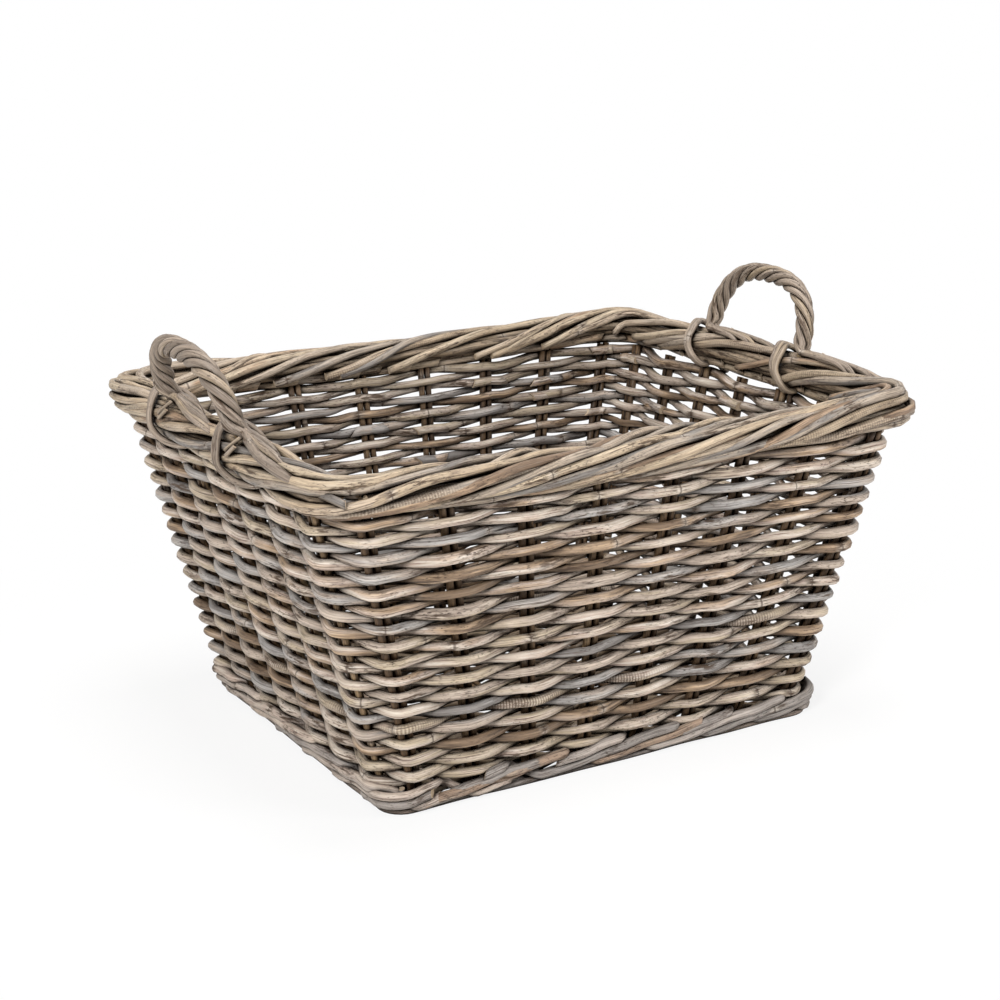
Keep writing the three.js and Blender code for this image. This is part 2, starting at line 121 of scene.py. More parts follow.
# (name, where it hangs in metres, width in metres, power in watts): a strong box left of the camera, a wide
# one overhead, and a weak one on the right
LAMPS = (
    ("key_softbox", (-2.1, -1.75, 1.7), 0.7, 90.0),
    ("top_softbox", (0.1, 0.0, 2.3), 1.1, 40.0),
    ("side_softbox", (1.7, -1.7, 1.1), 0.9, 29.0),
)
LAMPS_AIM_AT_M = (0, 0, 0.16)
for name, spot, width, watts in LAMPS:
    lamp = bpy.data.lights.new(name, "AREA")
    lamp.size = width
    lamp.energy = watts
    lamp_object = bpy.data.objects.new(name, lamp)
    lamp_object.location = spot
    aim = Vector(LAMPS_AIM_AT_M) - Vector(spot)
    lamp_object.rotation_euler = aim.to_track_quat("-Z", "Y").to_euler()
    bpy.context.scene.collection.objects.link(lamp_object)

# The camera stands where the photograph was taken: 30 degrees round from the long side, 16.5 degrees down.
AIM_HEIGHT_M = 0.1872
AZIMUTH, ELEVATION, ROLL = math.radians(-30.16), math.radians(16.49), math.radians(-0.69)
CAMERA_DISTANCE_M = 1.8816
LENS_MM = 72.75
SHIFT = (-0.00387, 0.0076)

back = Vector((math.sin(AZIMUTH) * math.cos(ELEVATION), -math.cos(AZIMUTH) * math.cos(ELEVATION),
               math.sin(ELEVATION)))
right = Vector((math.cos(AZIMUTH), math.sin(AZIMUTH), 0))
up = back.cross(right)
right, up = (right * math.cos(ROLL) + up * math.sin(ROLL), up * math.cos(ROLL) - right * math.sin(ROLL))
camera = bpy.data.cameras.new("photo_camera")
camera.lens = LENS_MM
camera.shift_x, camera.shift_y = SHIFT
camera_object = bpy.data.objects.new("photo_camera", camera)
stand = Matrix.Translation(Vector((0, 0, AIM_HEIGHT_M)) + back * CAMERA_DISTANCE_M)
camera_object.matrix_world = stand @ Matrix((right, up, back)).transposed().to_4x4()
bpy.context.scene.collection.objects.link(camera_object)
bpy.context.scene.camera = camera_object
bpy.context.scene.view_settings.view_transform = "Standard"

# Stakes: 30 thin rattan rods in pairs, each one up a wall, under the base and up the facing wall. They are
# whole rods of dark, barky rattan, bent wet over the edge of the base. Weaving and border grip them.

MM = 0.001
BASE_HALF_LENGTH, BASE_HALF_WIDTH = 210.0, 177.0
RIM_HALF_LENGTH, RIM_HALF_WIDTH = 282.5, 225.0
RIM_LEVEL = 292.3
LONG_PAIRS, SHORT_PAIRS = 8, 7
LONG_SETBACK_AT_BASE, LONG_SETBACK_AT_RIM = 21.0, 24.0
SHORT_SETBACK_AT_BASE, SHORT_SETBACK_AT_RIM = 21.0, 43.0
PAIR_PITCH = 7.2
STAKE_DIAMETER = 6.8
STAKE_TOP = 275.1
# points on a stake's bend: (mm above its crossing level, mm in from the wall)
STAKE_BEND = ((12.0, 0.0), (3.6, 1.6), (0.0, 9.6))
STAKE_STEP = 12.0
STAKE_SWELL, STAKE_LUMPS_PER_MM = 0.07, 0.03
# painted shade on the stakes: darkened on the walls, where the weave lies over them, and more below
# UNDER_LEVEL, under the base
STAKE_SHADE_ON_WALLS, STAKE_SHADE_UNDER_BASE, UNDER_LEVEL = 0.35, 0.6, 20.0
SIDE_TO_SIDE_LEVEL, FRONT_TO_BACK_LEVEL = 4.4, 10.55
DRAWN_BACK = 12.0


def between(low, high, level):
    """A size that changes evenly from the ground to the rim."""
    return low + (high - low) * level / RIM_LEVEL


def half_sizes(level):
    """Half the length and half the width of the stakes' line at a level."""
    return between(BASE_HALF_LENGTH, RIM_HALF_LENGTH, level), between(BASE_HALF_WIDTH, RIM_HALF_WIDTH, level)


def pair_spacings(level):
    """How far apart the stake pairs stand on the long and on the short walls at a level."""
    half_length, half_width = half_sizes(level)
    long_reach = half_length - between(LONG_SETBACK_AT_BASE, LONG_SETBACK_AT_RIM, level)
    short_reach = half_width - between(SHORT_SETBACK_AT_BASE, SHORT_SETBACK_AT_RIM, level)
    return long_reach * 2 / (LONG_PAIRS - 1), short_reach * 2 / (SHORT_PAIRS - 1)


def drawn_back(y, level):
    """The short walls' pairs were set a little too far back: not at all at the front pair, most at the back
    one, and not at all again at the back wall."""
    half_width = half_sizes(level)[1]
    last_pair = (SHORT_PAIRS - 1) / 2 * pair_spacings(level)[1]
    rising = min(1.0, max(0.0, (y + last_pair) / (2 * last_pair)))
    falling = min(1.0, max(0.0, (half_width - y) / (half_width - last_pair)))
    return y + DRAWN_BACK * min(rising, falling)


def through(points, step):
    """Points every step mm or so on a smooth curve through the given points."""
    spots = [Vector(p) for p in points]
    ends = [spots[0] * 2 - spots[1], *spots, spots[-1] * 2 - spots[-2]]
    curve = []
    for a, b, c, d in zip(ends, ends[1:], ends[2:], ends[3:]):
        count = max(1, round((c - b).length / step))
        for k in range(count):
            t = k / count
            curve.append(0.5 * (2 * b + (c - a) * t + (2 * a - 5 * b + 4 * c - d) * t * t
                                + (3 * b - a - 3 * c + d) * t ** 3))
    return [*curve, spots[-1]]


class Bundle:
    """A mesh of round rods. A rod is a grid rolled round its path; its UV is (metres along, share round)."""

    def __init__(self, name, bark, pith, seed):
        self.name = name
        self.materials = (bark, pith)
        self.chance = random.Random(seed)
        self.mesh = bmesh.new()
        self.uv = self.mesh.loops.layers.uv.new("rod")
        self.look = self.mesh.verts.layers.float_vector.new("rod_look")

    def lay(self, path, radii, tone, ribs=0.0, grime_and_shade=0.0, sides=10, slants=(0.0, 0.0)):
        """Adds a rod. tone picks the bark's colour, ribs is how ribbed it is, the value after ribs how far
        dirt and painted shade darken it, and slants tilt the two cut ends."""
        last = len(path) - 1
        radii = radii if isinstance(radii, list) else [radii] * len(path)
        grime_and_shade = grime_and_shade if isinstance(grime_and_shade, list) else [grime_and_shade] * len(path)
        grid = bmesh.ops.create_grid(self.mesh, x_segments=last, y_segments=sides, size=1.0)["verts"]
        tangents = [(path[min(k + 1, last)] - path[max(k - 1, 0)]).normalized() for k in range(last + 1)]
        normal = tangents[0].orthogonal().normalized()
        frames = []
        travelled = self.chance.uniform(0.0, 40000.0)
        for k in range(last + 1):
            normal = (normal - tangents[k] * normal.dot(tangents[k])).normalized()
            travelled += (path[k] - path[k - 1]).length if k else 0.0
            slant = slants[0] if k == 0 else slants[1] if k == last else 0.0
            frames.append((path[k], normal, tangents[k].cross(normal), travelled * MM, slant * radii[k]))
        for vert in grid:
            k, side = round((vert.co.x + 1) / 2 * last), round((vert.co.y + 1) / 2 * sides)
            spot, out, beside, along, slant = frames[k]
            angle = 2 * math.pi * side / sides
            round_it = out * math.cos(angle) + beside * math.sin(angle)
            vert.co = (spot + round_it * radii[k] + tangents[k] * slant * math.cos(angle)) * MM
            vert[self.look] = (tone, ribs, grime_and_shade[k])
            for loop in vert.link_loops:
                loop[self.uv].uv = (along, side / sides)
        bmesh.ops.remove_doubles(self.mesh, verts=grid, dist=1e-7)
        rims = {edge for vert in grid if vert.is_valid for edge in vert.link_edges if edge.is_boundary}
        for face in bmesh.ops.holes_fill(self.mesh, edges=list(rims), sides=sides)["faces"]:
            face.material_index = 1

    def finish(self, slot, *nodes):
        """Makes the piece, which stands for the named CAD nodes."""
        bmesh.ops.recalc_face_normals(self.mesh, faces=self.mesh.faces)
        for face in self.mesh.faces:
            face.smooth = face.material_index == 0
        data = bpy.data.meshes.new(self.name)
        self.mesh.to_mesh(data)
        self.mesh.free()
        for material in self.materials:
            data.materials.append(material)
        piece = bpy.data.objects.new(self.name, data)
        bpy.context.scene.collection.objects.link(piece)
        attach(piece, "root")
        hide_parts(*nodes)


# What shows on the bark of a cane: mm along the cane, mm across it, and detail. The fibres are 0.4 mm wide
# and are drawn 0.9 mm, so that they show.
GRAINS = {
    "drift": (70.0, 9.0, 2.0),
    "fibres": (38.0, 0.9, 3.0),
    "flakes": (14.0, 2.6, 5.0),
    "specks": (3.6, 1.2, 2.0),
    "weather": (60.0, 20.0, 1.0),
}
GRAIN_ROUGHNESS = 0.6
SKIN_RADIUS = 4.5
JOINT_WANDERS = 0.6
RIB_PITCH = 2.5
WAVE_AT_SCALE_ONE = math.pi / 10
# how far off, and with how many rays, the painted shade looks for other canes: recesses go near black
RECESS_MM = 9.0
RECESS_RAYS = 6
BARK_RELIEF_MM = 0.6
CANE_IOR = 1.47
# the fibres' dark and light, laid over the cane's tone
FIBRE_TINTS = ((0.3, "#565250"), (0.66, "#d2cfcc"))
FIBRE_TINTING, FIBRE_LIFT = 0.7, 0.3
# what lies over the tone, the lowest first: (mask, how it is laid, colour)
BARK_LAYERS = (
    ("cracks", "MIX", "#5f4e40"),
    ("flakes", "MIX", "#55443a"),
    ("specks", "MIX", "#3a2b20"),
    ("halo", "MIX", "#cabfb2"),
    ("crust", "MIX", "#44311f"),
    ("ring", "MIX", "#43342a"),
    ("ribs", "MIX", "#62503f"),
    # dirt and painted shade: each rod's own darkening value, multiplied in
    ("browned_and_shaded", "MULTIPLY", "#5e4a3a"),
    # painted shade: near black in the recesses, where other canes stand close
    ("painted_recess_shade", "MIX", "#0e0602"),
)
# how far each stands proud of the bark or is sunk in it, as a share of the relief
BARK_LIFTS = (("flakes", 0.5), ("specks", -0.5), ("cracks", -0.6), ("halo", 0.9), ("ring", -0.8),
              ("ribs", -0.9))


def cane_grains(tree, lanes):
    """The noise patterns of a cane's skin. They run round it without a seam."""
    turn = add_node(tree, "Math", {0: lanes["Y"], 1: 2 * math.pi}, operation="MULTIPLY")
    sine = add_node(tree, "Math", {0: turn}, operation="SINE")
    cosine = add_node(tree, "Math", {0: turn}, operation="COSINE")
    skin = add_node(tree, "CombineXYZ", {0: lanes["X"], 1: sine, 2: cosine})
    grain = {}
    for part, (along, across, detail) in GRAINS.items():
        scale = (1000 / along, SKIN_RADIUS / across, SKIN_RADIUS / across)
        stretched = add_node(tree, "Mapping", {"Vector": skin, "Scale": scale})
        grain[part] = add_node(tree, "TexNoise", {"Vector": stretched, "Scale": 1.0, "Detail": detail,
                                                  "Roughness": GRAIN_ROUGHNESS})
    return grain


def joint_distance(tree, metres_along, ring_gap_mm):
    """How far the nearest joint of the cane is, as a share of the gap between two joints."""
    place = add_node(tree, "CombineXYZ", {0: metres_along})
    uneven = add_node(tree, "TexNoise", {"Vector": place, "Scale": 1000 * JOINT_WANDERS / ring_gap_mm,
                                         "Detail": 1.0})
    gaps = add_node(tree, "Math", {0: metres_along, 1: 1000 / ring_gap_mm, 2: uneven},
                    operation="MULTIPLY_ADD")
    gaps = add_node(tree, "Math", {0: gaps}, operation="FRACT")
    gaps = add_node(tree, "Math", {0: gaps, 1: 0.5}, operation="SUBTRACT")
    return add_node(tree, "Math", {0: gaps}, operation="ABSOLUTE")


def rattan_bark(name, tones, blotches=0.5, ring_gap_mm=380.0, rough=0.48):
    """Whole rattan with its bark on, washed grey and worn. Where other canes stand close, a mask paints the
    bark near black: painted shade in the recesses. Silky fibres, brown flakes, and now and then a cane's
    joint: a dark ring with pale bark and crumbs of old bark beside it. Each rod's own value darkens it with
    dirt and painted shade."""
    made, tree = new_material(name)
    uv = add_node(tree, "UVMap", uv_map="rod")
    look = add_node(tree, "Attribute", output="Vector", attribute_name="rod_look")
    # the rod's tone, how ribbed it is, and how far dirt and painted shade darken it
    tone, ribbed, browned_and_shaded = add_node(tree, "SeparateXYZ", {0: look}).node.outputs
    lanes = add_node(tree, "SeparateXYZ", {0: uv}).node.outputs
    grain = cane_grains(tree, lanes)
    joints = joint_distance(tree, lanes["X"], ring_gap_mm)
    ribs = add_node(tree, "TexWave", {"Vector": uv, "Scale": WAVE_AT_SCALE_ONE / (RIB_PITCH * MM),
                                      "Distortion": 0.8, "Detail": 2.0, "Detail Scale": 1.0},
                    output="Fac", bands_direction="X")
    open_air = add_node(tree, "AmbientOcclusion", {"Distance": RECESS_MM * MM}, output="AO",
                        samples=RECESS_RAYS)
    # each mask: what it reads, from and to which value, and its strength at the two
    spans = {
        "drift": (grain["drift"], 0.3, 0.7, -0.16, 0.16),
        "weather": (grain["weather"], 0.38, 0.62, 0.2, 1.0),
        "flakes": (grain["flakes"], 0.54, 0.62, 0.0, blotches),
        "specks": (grain["specks"], 0.58, 0.66, 0.0, 0.9),
        "cracks": (grain["fibres"], 0.33, 0.40, 0.75, 0.0),
        "halo": (joints, 1.6 / ring_gap_mm, 7.0 / ring_gap_mm, 0.45, 0.0),
        "ring": (joints, 0.4 / ring_gap_mm, 1.1 / ring_gap_mm, 0.7, 0.0),
        "crust": (joints, 1.5 / ring_gap_mm, 9.0 / ring_gap_mm, 0.95, 0.0),
        "old_bark": (grain["weather"], 0.58, 0.66, 0.0, 0.9),
        "crumbs": (grain["flakes"], 0.47, 0.56, 0.0, 1.0),
        # painted shade: full where the occlusion is 0.4 or less, none from 0.9 up
        "painted_recess_shade": (open_air, 0.4, 0.9, 0.99, 0.0),
        "shine": (open_air, 0.3, 0.8, 0.0, 0.42),
        "gloss": (grain["flakes"], 0.35, 0.7, rough - 0.1, rough + 0.2),
    }
    mask = {"ribs": ribs, "browned_and_shaded": browned_and_shaded}
    for part, (source, low, high, at_low, at_high) in spans.items():
        mask[part] = add_node(tree, "MapRange", {"Value": source, "From Min": low, "From Max": high,
                                                 "To Min": at_low, "To Max": at_high})
    mask["crust"] = add_node(tree, "Math", {0: mask["crust"], 1: mask["old_bark"]}, operation="MAXIMUM")
    for part, only_where in (("flakes", mask["weather"]), ("specks", mask["weather"]),
                             ("crust", mask["crumbs"]), ("ribs", ribbed), ("ribs", mask["weather"])):
        mask[part] = add_node(tree, "Math", {0: mask[part], 1: only_where}, operation="MULTIPLY")
    toned = add_node(tree, "Math", {0: tone, 1: mask["drift"]}, operation="ADD")
    tint = add_node(tree, "ValToRGB", {0: toned}, stops=tones)
    fibres = add_node(tree, "ValToRGB", {0: grain["fibres"]}, stops=FIBRE_TINTS)
    tint = add_node(tree, "Mix", {0: FIBRE_TINTING, 6: tint, 7: fibres}, output=2, data_type="RGBA",
                    blend_type="OVERLAY")
    for part, way, over in BARK_LAYERS:
        tint = add_node(tree, "Mix", {0: mask[part], 6: tint, 7: over}, output=2, data_type="RGBA",
                        blend_type=way)
    height = add_node(tree, "Math", {0: grain["fibres"], 1: FIBRE_LIFT}, operation="MULTIPLY")
    for part, lift in BARK_LIFTS:
        height = add_node(tree, "Math", {0: mask[part], 1: lift, 2: height}, operation="MULTIPLY_ADD")
    relief = add_node(tree, "Bump", {"Height": height, "Strength": 1.0, "Distance": BARK_RELIEF_MM * MM})
    bark = add_node(tree, "BsdfPrincipled", {"Base Color": tint, "Roughness": mask["gloss"], "Normal": relief,
                                             "IOR": CANE_IOR, "Specular IOR Level": mask["shine"]})
    add_node(tree, "OutputMaterial", {"Surface": bark})
    return made


PORE_DRAWN_MM, STAIN_MM = 0.8, 6.0
PITH_ROUGHNESS, PITH_RELIEF_MM = 0.85, 0.3


def cut_pith(name, pale, pore, stained):
    """The cut face of a cane: dull pale pith full of pores 0.4 mm wide, drawn 0.8 mm so that they show."""
    made, tree = new_material(name)
    place = add_node(tree, "TexCoord", output="Object")
    pores = add_node(tree, "TexVoronoi", {"Vector": place, "Scale": 1000 / PORE_DRAWN_MM})
    stain = add_node(tree, "TexNoise", {"Vector": place, "Scale": 1000 / STAIN_MM, "Detail": 2.0})
    tint = add_node(tree, "ValToRGB", {0: pores}, stops=((0.12, pore), (0.45, pale)))
    worn = add_node(tree, "Mix", {0: stain, 6: tint, 7: stained}, output=2, data_type="RGBA",
                    blend_type="MULTIPLY")
    relief = add_node(tree, "Bump", {"Height": pores, "Strength": 0.6, "Distance": PITH_RELIEF_MM * MM})
    pith = add_node(tree, "BsdfPrincipled", {"Base Color": worn, "Roughness": PITH_ROUGHNESS,
                                             "Normal": relief})
    add_node(tree, "OutputMaterial", {"Surface": pith})
    return made


CUT_END = cut_pith("rattan_pith_cut", "#cfc0a9", "#857058", "#b49c82")
# thin canes with most of their dark bark left, which the wash hardly took: dull brown and blotchy
STAKE_TONES = ((0.0, "#614c35"), (0.4, "#84694c"), (0.8, "#a38766"), (1.0, "#b69c78"))
STAKE_BARK = rattan_bark("rattan_bark_brown", STAKE_TONES, blotches=0.7)


def stake_path(level, reach, place_at):
    """From one top down a wall, round under the base and up the facing wall. way is 1 on the first wall and
    -1 on the facing one."""
    def half(way):
        bend = [place_at(level + up, way * (reach - inwards) / reach) for up, inwards in STAKE_BEND]
        return [place_at(STAKE_TOP, way), place_at(STAKE_TOP * 0.5, way), *bend]
    return [*half(1), place_at(level, 0), *half(-1)[::-1]]


def lay_stakes(kind, count, level, place_at, reach):
    """The rods that run one way. place_at gives a place from the pair's number, mm aside, height and way."""
    for rod in range(count):
        aside = PAIR_PITCH * (rod % 2 - 0.5)
        bundle = Bundle(f"{kind}_rod_{rod + 1:02d}", STAKE_BARK, CUT_END, seed=200 + rod + int(level * 10))
        points = stake_path(level, reach, lambda height, way: place_at(rod // 2, aside, height, way))
        points = through(points, STAKE_STEP)
        lumps = [noise.noise(p * STAKE_LUMPS_PER_MM) for p in points]
        # painted shade: the stakes are darker on the walls and darker still under the base
        grime_and_shade = [STAKE_SHADE_ON_WALLS if p.z > UNDER_LEVEL else STAKE_SHADE_UNDER_BASE for p in points]
        bundle.lay(points, [STAKE_DIAMETER / 2 * (1 + STAKE_SWELL * lump) for lump in lumps],
                   bundle.chance.random(), grime_and_shade=grime_and_shade, sides=8)
        bundle.finish("stake_rattan", f"{kind}_{rod + 1:02d}")


def front_back_spot(pair, aside, height, way):
    """Where a rod that runs from front to back is."""
    x = (pair - (LONG_PAIRS - 1) / 2) * pair_spacings(height)[0] + aside
    return Vector((x, way * half_sizes(height)[1], height))


def left_right_spot(pair, aside, height, way):
    """Where a rod that runs from left to right is."""
    y = (pair - (SHORT_PAIRS - 1) / 2) * pair_spacings(height)[1] + aside
    return Vector((way * half_sizes(height)[0], drawn_back(y, height), height))


lay_stakes("front_back_stake", 2 * LONG_PAIRS, FRONT_TO_BACK_LEVEL, front_back_spot,
           half_sizes(FRONT_TO_BACK_LEVEL)[1])
lay_stakes("left_right_stake", 2 * SHORT_PAIRS, SIDE_TO_SIDE_LEVEL, left_right_spot,
           half_sizes(SIDE_TO_SIDE_LEVEL)[0])

# Base: thin rattan rods woven to and fro over and under the front-to-back stakes, five to each space between
# the side-to-side pairs. Each is a cane of its own here, cut flush past the last stake.

BASE_ROD_DIAMETER = 6.9
BASE_RODS_PER_SPACE = 5
BASE_ROD_PITCH = 7.5
BASE_CREST = 5.9
BASE_OVERHANG = 17.0
BASE_UNEVEN = 0.6
# the whole base is darkened: dust, and painted shade, as it lies inside and under the basket
BASE_DUST_AND_SHADE = 0.5
# two more rows past the last pairs, at the front and at the back
BASE_EDGE_ROWS = (166.0, 173.0)
MIDDLE_LANE = (BASE_RODS_PER_SPACE - 1) / 2
STEPS_PER_SPACE = 8

# canes that lie in the shade and the dust: paler than the stakes, dull and spotted
BASE_TONES = ((0.0, "#7c6a56"), (0.5, "#9d8a72"), (1.0, "#b7a68c"))
BASE_BARK = rattan_bark("rattan_bark_base", BASE_TONES, blotches=0.6)
base = Bundle("base_weave", BASE_BARK, CUT_END, seed=11)
long_spacing, short_spacing = pair_spacings(FRONT_TO_BACK_LEVEL)
rows = [*BASE_EDGE_ROWS, *(-y for y in BASE_EDGE_ROWS)]
for space in range(SHORT_PAIRS - 1):
    middle = (space - (SHORT_PAIRS - 2) / 2) * short_spacing
    rows += [middle + (lane - MIDDLE_LANE) * BASE_ROD_PITCH for lane in range(BASE_RODS_PER_SPACE)]
reach = (LONG_PAIRS - 1) / 2 * long_spacing + BASE_OVERHANG
for row, y in enumerate(sorted(rows)):
    y = drawn_back(y, FRONT_TO_BACK_LEVEL)
    way = 1 if row % 2 else -1
    points = []
    for k in range(STEPS_PER_SPACE * (LONG_PAIRS - 1) + 1):
        stake = k / STEPS_PER_SPACE
        x = (stake - (LONG_PAIRS - 1) / 2) * long_spacing
        level = FRONT_TO_BACK_LEVEL + way * BASE_CREST * math.cos(math.pi * stake)
        points.append(Vector((x, y + BASE_UNEVEN * base.chance.uniform(-1, 1), level)))
    points = [Vector((-reach, y, points[0].z)), *points, Vector((reach, y, points[-1].z))]
    base.lay(points, BASE_ROD_DIAMETER / 2, base.chance.random(), grime_and_shade=BASE_DUST_AND_SHADE, sides=8)
base.finish("weaver_rattan", "base_weaver")

# Wall weave: 16 courses of whole rattan about 9 mm thick. A course is two strands, one above the other, that
# pass each stake pair on opposite sides. Each strand is spliced from canes whose ends are tucked inside.

COURSES = 16
FIRST_COURSE_LEVEL = 29.3
COURSE_PITCH = 15.7
STRAND_SHARES = (0.25, -0.25)
STRAND_RADIUS = 4.38
STRAND_THICKNESSES = (0.82, 1.14)
FLOAT_REACH = 7.4
# a cane's bends in and out to a stake pair, how far it bends, and how much it swells with them
WOBBLES_PER_PAIR, FLOAT_WANDER, CANE_SWELL = 0.7, 0.9, 0.09
# its bends up and down to a stake pair, and how far they go
ROW_WAVES_PER_PAIR, ROW_WANDER = 0.55, 1.4
# how far the weave has settled, and what a lap's radius and a mm of height are in the noise that says where
SETTLING, SETTLING_CIRCLE, SETTLING_PER_MM = 2.8, 5.5, 0.012
# a cane's length in stake pairs, the shortest that may be left over, and how far it overlaps the next
CANE_PAIRS = (6, 8, 10, 12, 14, 18)
SHORTEST_CANE_PAIRS = 4
CANE_OVERLAP_PAIRS = 0.25
# its ends go in over this many steps, by this much a step
TUCK_STEPS, TUCK_PER_STEP = 4, 0.9
# how browned a strand is everywhere, and painted shade: more where it lies inside, and most beside the stakes
STRAND_DIRT, INSIDE_SHADE, CROSSING_SHADE = 0.02, 0.15, 0.3
# one cane in eight is ribbed across
WEAVE_RIBS = (0,) * 7 + (0.9,)
CORNER_RADIUS = 22.0
# how flat each corner's bend is, by (facing, mirrored): front right, back right, back left, front left
CORNER_CUTS = {(1, False): 0.3, (1, True): 0.6, (-1, False): 0.45, (-1, True): 0.8}
STEPS_PER_PAIR = 10
HALF_LAP = LONG_PAIRS + SHORT_PAIRS
ALL_PAIRS = 2 * HALF_LAP

# canes washed grey, from blue grey to pale oatmeal and a few brown ones: silky, with a soft shine
WEAVE_TONES = ((0.0, "#86827f"), (0.08, "#a3a19f"), (0.18, "#b2ada8"), (0.3, "#b4a699"), (0.43, "#c1b4a6"),
               (0.55, "#b7a891"), (0.66, "#c4b8a7"), (0.77, "#cdc4ba"), (0.87, "#bba896"), (0.95, "#ae967b"),
               (1.0, "#7e6a56"))
WEAVE_BARK = rattan_bark("rattan_bark_weathered", WEAVE_TONES)


def wall_spot(pairs, level, out, corner=CORNER_RADIUS, cuts=CORNER_CUTS):
    """The point out mm outside the stakes' line at that level; pairs counts stake pairs round from the front
    left. corner is the bend's radius at the corners, cuts how far each is flattened."""
    half_length, half_width = half_sizes(level)
    long_gap, short_gap = pair_spacings(level)
    facing = 1 if pairs % ALL_PAIRS < HALF_LAP else -1
    lap = pairs % HALF_LAP
    long_end, short_end = (LONG_PAIRS - 1) / 2 * long_gap, (SHORT_PAIRS - 1) / 2 * short_gap
    if lap <= LONG_PAIRS - 1:
        spot = Vector((-long_end + lap * long_gap, -half_width - out, 0))
    elif LONG_PAIRS <= lap <= HALF_LAP - 1:
        spot = Vector((half_length + out, -short_end + (lap - LONG_PAIRS) * short_gap, 0))
    else:
        mirrored = lap > LONG_PAIRS
        share = 1 - lap % 1 if mirrored else lap % 1
        along_long, along_short = half_length - corner - long_end, half_width - corner - short_end
        bend = math.pi / 2 * corner
        run = share * (along_long + bend + along_short)
        turned = min(math.pi / 2, max(0.0, (run - along_long) / corner))
        spot = Vector((long_end + min(run, along_long), -half_width + corner, 0))
        spot += (corner + out) * Vector((math.sin(turned), -math.cos(turned), 0))
        spot.y += max(0.0, run - along_long - bend)
        front, beside = Vector((long_end, -half_width - out, 0)), Vector((half_length + out, -short_end, 0))
        cut = cuts[facing, mirrored] * min(1.0, 4 * share * (1 - share))
        spot = spot.lerp(front.lerp(beside, share), cut)
        if mirrored:
            spot.y = -spot.y
    spot *= facing
    return Vector((spot.x, drawn_back(spot.y, level), level))


def settled(pairs, level):
    """How far the weave has sunk or risen at a place: neighbouring courses move together."""
    turn = 2 * math.pi * pairs / ALL_PAIRS
    place = Vector((SETTLING_CIRCLE * math.cos(turn), SETTLING_CIRCLE * math.sin(turn),
                    level * SETTLING_PER_MM))
    return SETTLING * noise.noise(place) + SETTLING * 0.5 * noise.noise(place * 2.7)


def lay_cane(bundle, strand, row_level, first_pair, pairs_long):
    """One cane of a strand, from the stake pair where it starts. Both its ends are tucked inside."""
    chance = bundle.chance
    thick = STRAND_RADIUS * chance.uniform(*STRAND_THICKNESSES)
    phase = chance.uniform(0, 900)
    steps = pairs_long * STEPS_PER_PAIR + STEPS_PER_PAIR // 2
    points, radii, grime_and_shade = [], [], []
    for k in range(steps + 1):
        u = first_pair - CANE_OVERLAP_PAIRS + k / STEPS_PER_PAIR
        turn = math.pi * (u - strand)
        wobble = noise.noise(Vector((u * WOBBLES_PER_PAIR, phase, 0)))
        tucked = TUCK_PER_STEP * max(0, TUCK_STEPS - min(k, steps - k))
        wave = noise.noise(Vector((u * ROW_WAVES_PER_PAIR, phase, 7)))
        level = row_level + settled(u, row_level) + ROW_WANDER * wave
        points.append(wall_spot(u, level, FLOAT_REACH * math.cos(turn) + FLOAT_WANDER * wobble - tucked))
        radii.append(thick * (1 + CANE_SWELL * wobble))
        # painted shade: darker where the strand runs inside the stakes, darkest where it passes beside them
        inside, crossing = max(0.0, -math.cos(turn)), math.sin(turn) ** 4
        grime_and_shade.append(STRAND_DIRT + INSIDE_SHADE * inside + CROSSING_SHADE * crossing)
    ribs = chance.choice(WEAVE_RIBS)
    bundle.lay(points, radii, chance.random() ** 0.8, ribs, grime_and_shade, sides=9,
               slants=(chance.uniform(-1, 1), chance.uniform(-1, 1)))


for course in range(COURSES):
    bundle = Bundle(f"weaving_course_{course + 1:02d}_strands", WEAVE_BARK, CUT_END, seed=500 + course)
    for strand in range(2):
        start = bundle.chance.randrange(ALL_PAIRS // 2) * 2 + strand + 1
        row_level = FIRST_COURSE_LEVEL + COURSE_PITCH * (course + STRAND_SHARES[strand])
        laid = 0
        while laid < ALL_PAIRS:
            pairs_long = min(bundle.chance.choice(CANE_PAIRS), ALL_PAIRS - laid)
            if ALL_PAIRS - laid - pairs_long < SHORTEST_CANE_PAIRS:
                pairs_long = ALL_PAIRS - laid
            lay_cane(bundle, strand, row_level, start + laid, pairs_long)
            laid += pairs_long
    bundle.finish("weaver_rattan", f"weaving_course_{course + 1:02d}")

# Foot: a wale of three long rods that climb one after another round the stake ends, thin rods under them that
# the basket stands on, and the cut stake ends at the corners. Whole grey rattan, its ends cut and tucked in.

WALE_STRANDS = 3
WALE_LOW, WALE_RISE = 6.6, 16.6
WALE_OUT, WALE_IN = 11.4, -6.0
WALE_ROD_DIAMETER = 8.6
WALE_THICKNESSES = (0.86, 1.12)
# how far a strand wanders up and out, and its bends to a stake pair
WALE_LEVEL_WANDER, WALE_LEVEL_WAVES = 2.4, 1.6
WALE_OUT_WANDER, WALE_OUT_WAVES = 2.2, 1.8
WALE_PAIRS = 3.2
WALE_OUTSIDE_SHARE = 0.76
WALE_CANE_PAIRS = (4, 7)
SHORTEST_WALE_PAIRS = 2
WALE_OVERLAP_PAIRS = 0.2
WALE_LAG_PAIRS = 1.3
FOOT_CORNER_RADIUS = 11.0
FOOT_CUTS = {(1, False): 0.1, (1, True): 0.6, (-1, False): 1.0, (-1, True): 0.0}
FOOT_STEPS_PER_PAIR = 14
GROUND_ROD_RADIUS = 2.9
GROUND_LANES = (8.6, 2.6)
GROUND_RODS_PER_LANE = 6
# how far a ground rod wanders out and up, and its bends to a stake pair
GROUND_WANDER, GROUND_LIFT, GROUND_WAVES = 2.6, 0.4, 0.7
